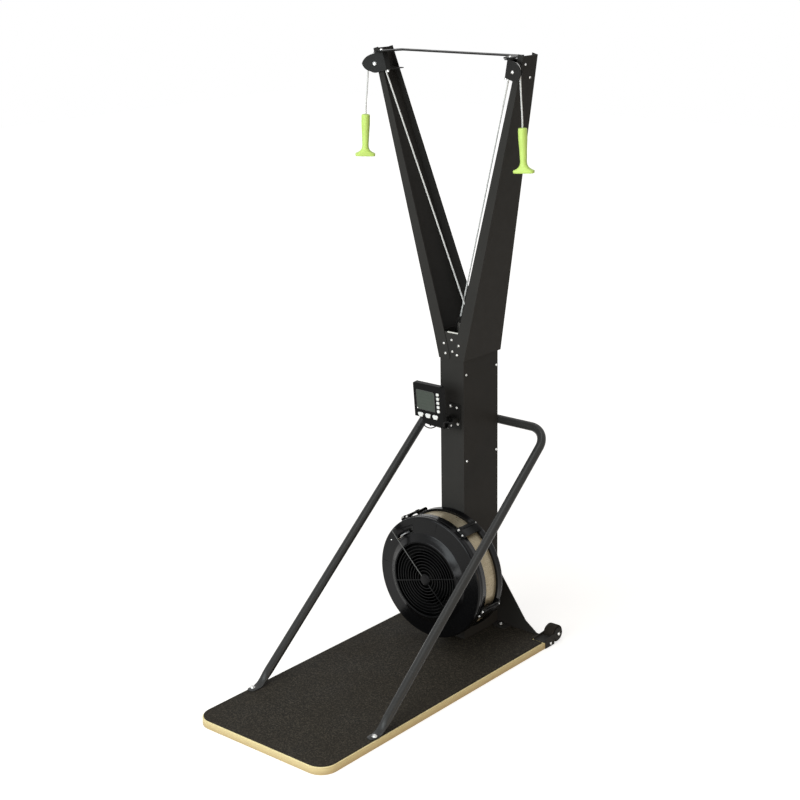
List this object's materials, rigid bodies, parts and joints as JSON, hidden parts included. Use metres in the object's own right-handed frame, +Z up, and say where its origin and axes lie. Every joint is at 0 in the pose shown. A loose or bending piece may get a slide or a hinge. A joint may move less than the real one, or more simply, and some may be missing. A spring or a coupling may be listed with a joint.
{
  "type": "ski trainer machine",
  "caption": "Standing cord-pull exercise machine: V arms with pulleys and handles over a column with a fan, on a plywood deck with support legs.",
  "frame": {"origin": "centre of the bounding box on the floor, under the deck", "axes": "+Z up, +X to the user's right, +Y away from the standing user towards the transport wheels"},
  "size_m": [0.7556, 1.316, 2.1715],
  "materials": {
    "black_paint": "fine textured powder coat, near black",
    "grey_paint": "satin dark grey powder coat",
    "dark_plastic": "fine grained dark plastic",
    "gloss_black_plastic": "smooth moulded black plastic with a soft shine",
    "band_metal": "perforated sheet, satin",
    "bright_steel": "bright turned steel",
    "plain_steel": "zinc plated steel",
    "light_alloy": "plain cast or machined alloy",
    "birch_ply": "clear sealed birch plywood",
    "rubber_mat": "dark speckled rubber sheet",
    "black_rubber": "plain black rubber",
    "lime_plastic": "soft lime green moulding",
    "white_cord": "braided white cord",
    "liquid_crystal": "grey green display, switched off",
    "white_keys": "plain rubberised keys"
  },
  "bodies": {
    "frame": {"deck_board": "birch_ply", "deck_mat": "rubber_mat", "column_shell": "black_paint", "column_back_cover": "black_paint", "rear_plate": "black_paint", "cross_brace": "grey_paint", "support_tube": "grey_paint", "support_saddle": "black_paint", "right_arm": "black_paint", "left_arm": "black_paint", "right_pulley_bracket": "black_paint", "left_pulley_bracket": "black_paint", "right_pulley_axle": "bright_steel", "left_pulley_axle": "bright_steel", "right_wheel_bracket": "black_paint", "left_wheel_bracket": "black_paint", "guide_bracket": "plain_steel", "guide_axle": "bright_steel", "right_drive_cord": "white_cord", "left_drive_cord": "white_cord", "right_return_cord": "black_rubber", "left_return_cord": "black_rubber", "fan_front_shroud": "gloss_black_plastic", "fan_grille": "gloss_black_plastic", "fan_band": "band_metal", "fan_rear_shroud": "gloss_black_plastic", "fan_clamp_1": "plain_steel", "fan_clamp_2": "plain_steel", "fan_clamp_3": "plain_steel", "fan_clamp_4": "plain_steel", "front_bearing": "light_alloy", "rear_bearing_carrier": "light_alloy", "monitor_mount": "black_paint"},
    "right_handle_body": {"right_handle": "lime_plastic", "right_hanging_cord": "white_cord"},
    "right_top_pulley_body": {"right_top_pulley": "dark_plastic"},
    "right_guide_pulley_body": {"right_guide_pulley": "dark_plastic"},
    "right_drive_drum_body": {"right_drive_drum": "light_alloy"},
    "right_transport_wheel_body": {"right_transport_wheel": "black_rubber"},
    "left_handle_body": {"left_handle": "lime_plastic", "left_hanging_cord": "white_cord"},
    "left_top_pulley_body": {"left_top_pulley": "dark_plastic"},
    "left_guide_pulley_body": {"left_guide_pulley": "dark_plastic"},
    "left_drive_drum_body": {"left_drive_drum": "light_alloy"},
    "left_transport_wheel_body": {"left_transport_wheel": "black_rubber"},
    "fan_rotor": {"fan_wheel": "dark_plastic", "fan_shaft": "bright_steel"},
    "damper": {"fan_damper": "dark_plastic"},
    "monitor_lift_arm": {"monitor_arm": "dark_plastic"},
    "monitor_head": {"monitor_case": "dark_plastic", "monitor_screen": "liquid_crystal", "monitor_cable": "black_rubber"},
    "side_button_1_body": {"side_button_1": "white_keys"},
    "side_button_2_body": {"side_button_2": "white_keys"},
    "side_button_3_body": {"side_button_3": "white_keys"},
    "side_button_4_body": {"side_button_4": "white_keys"},
    "side_button_5_body": {"side_button_5": "white_keys"},
    "menu_button_1_body": {"menu_button_1": "white_keys"},
    "menu_button_2_body": {"menu_button_2": "white_keys"},
    "menu_button_3_body": {"menu_button_3": "white_keys"}
  },
  "joints": [
    {"name": "right_handle_pull", "type": "slide", "parent": "frame", "child": "right_handle_body", "axis": [0, 0, -1], "range_m": [0, 1.4], "stiffness_N_per_m": 15, "springref_m": -1, "deforming": ["right_hanging_cord"]},
    {"name": "right_top_pulley_spin", "type": "hinge", "parent": "frame", "child": "right_top_pulley_body", "pos_m": [0.299, 0.3407, 2.116], "axis": [0.3272, 0.9449, 0], "range_deg": [0, 2880]},
    {"name": "right_guide_pulley_spin", "type": "hinge", "parent": "frame", "child": "right_guide_pulley_body", "pos_m": [0, 0.46301, 1.204], "axis": [0, 1, 0], "range_deg": [0, 2370]},
    {"name": "right_drive_drum_spin", "type": "hinge", "parent": "frame", "child": "right_drive_drum_body", "pos_m": [0, 0.46301, 0.311], "axis": [0, -1, 0], "range_deg": [0, 2520]},
    {"name": "right_transport_wheel_spin", "type": "hinge", "parent": "frame", "child": "right_transport_wheel_body", "pos_m": [0.2736, 0.626, 0.034], "axis": [1, 0, 0], "continuous": true},
    {"name": "left_handle_pull", "type": "slide", "parent": "frame", "child": "left_handle_body", "axis": [0, 0, -1], "range_m": [0, 1.4], "stiffness_N_per_m": 15, "springref_m": -1, "deforming": ["left_hanging_cord"]},
    {"name": "left_top_pulley_spin", "type": "hinge", "parent": "frame", "child": "left_top_pulley_body", "pos_m": [-0.299, 0.3407, 2.116], "axis": [0.3272, -0.9449, 0], "range_deg": [0, 2880]},
    {"name": "left_guide_pulley_spin", "type": "hinge", "parent": "frame", "child": "left_guide_pulley_body", "pos_m": [0, 0.44901, 1.204], "axis": [0, -1, 0], "range_deg": [0, 2370]},
    {"name": "left_drive_drum_spin", "type": "hinge", "parent": "frame", "child": "left_drive_drum_body", "pos_m": [0, 0.44901, 0.311], "axis": [0, -1, 0], "range_deg": [0, 2520]},
    {"name": "left_transport_wheel_spin", "type": "hinge", "parent": "frame", "child": "left_transport_wheel_body", "pos_m": [-0.2736, 0.626, 0.034], "axis": [1, 0, 0], "continuous": true},
    {"name": "fan_spin", "type": "hinge", "parent": "frame", "child": "fan_rotor", "pos_m": [0, 0.32, 0.311], "axis": [0, -1, 0], "continuous": true},
    {"name": "damper_turn", "type": "hinge", "parent": "frame", "child": "damper", "pos_m": [0, 0.242, 0.311], "axis": [0, 1, 0], "range_deg": [-8, 8]},
    {"name": "monitor_lift", "type": "hinge", "parent": "frame", "child": "monitor_lift_arm", "pos_m": [0.009, 0.347, 0.88], "axis": [-1, 0, 0], "range_deg": [-25, 8]},
    {"name": "monitor_tilt", "type": "hinge", "parent": "monitor_lift_arm", "child": "monitor_head", "pos_m": [0.009, 0.302, 0.882], "axis": [-1, 0, 0], "range_deg": [-25, 25]},
    {"name": "side_button_1_press", "type": "slide", "parent": "monitor_head", "child": "side_button_1_body", "axis": [0, 0.9962, 0.0872], "range_m": [0, 0.0015], "stiffness_N_per_m": 500},
    {"name": "side_button_2_press", "type": "slide", "parent": "monitor_head", "child": "side_button_2_body", "axis": [0, 0.9962, 0.0872], "range_m": [0, 0.0015], "stiffness_N_per_m": 500},
    {"name": "side_button_3_press", "type": "slide", "parent": "monitor_head", "child": "side_button_3_body", "axis": [0, 0.9962, 0.0872], "range_m": [0, 0.0015], "stiffness_N_per_m": 500},
    {"name": "side_button_4_press", "type": "slide", "parent": "monitor_head", "child": "side_button_4_body", "axis": [0, 0.9962, 0.0872], "range_m": [0, 0.0015], "stiffness_N_per_m": 500},
    {"name": "side_button_5_press", "type": "slide", "parent": "monitor_head", "child": "side_button_5_body", "axis": [0, 0.9962, 0.0872], "range_m": [0, 0.0015], "stiffness_N_per_m": 500},
    {"name": "menu_button_1_press", "type": "slide", "parent": "monitor_head", "child": "menu_button_1_body", "axis": [0, 0.9962, 0.0872], "range_m": [0, 0.0015], "stiffness_N_per_m": 500},
    {"name": "menu_button_2_press", "type": "slide", "parent": "monitor_head", "child": "menu_button_2_body", "axis": [0, 0.9962, 0.0872], "range_m": [0, 0.0015], "stiffness_N_per_m": 500},
    {"name": "menu_button_3_press", "type": "slide", "parent": "monitor_head", "child": "menu_button_3_body", "axis": [0, 0.9962, 0.0872], "range_m": [0, 0.0015], "stiffness_N_per_m": 500}
  ],
  "couplings": [
    {"joint": "right_top_pulley_spin", "follows": "right_handle_pull", "rad_per_m": 35.714},
    {"joint": "right_guide_pulley_spin", "follows": "right_handle_pull", "rad_per_m": 29.412},
    {"joint": "right_drive_drum_spin", "follows": "right_handle_pull", "rad_per_m": 31.25},
    {"joint": "left_top_pulley_spin", "follows": "left_handle_pull", "rad_per_m": 35.714},
    {"joint": "left_guide_pulley_spin", "follows": "left_handle_pull", "rad_per_m": 29.412},
    {"joint": "left_drive_drum_spin", "follows": "left_handle_pull", "rad_per_m": 31.25}
  ]
}
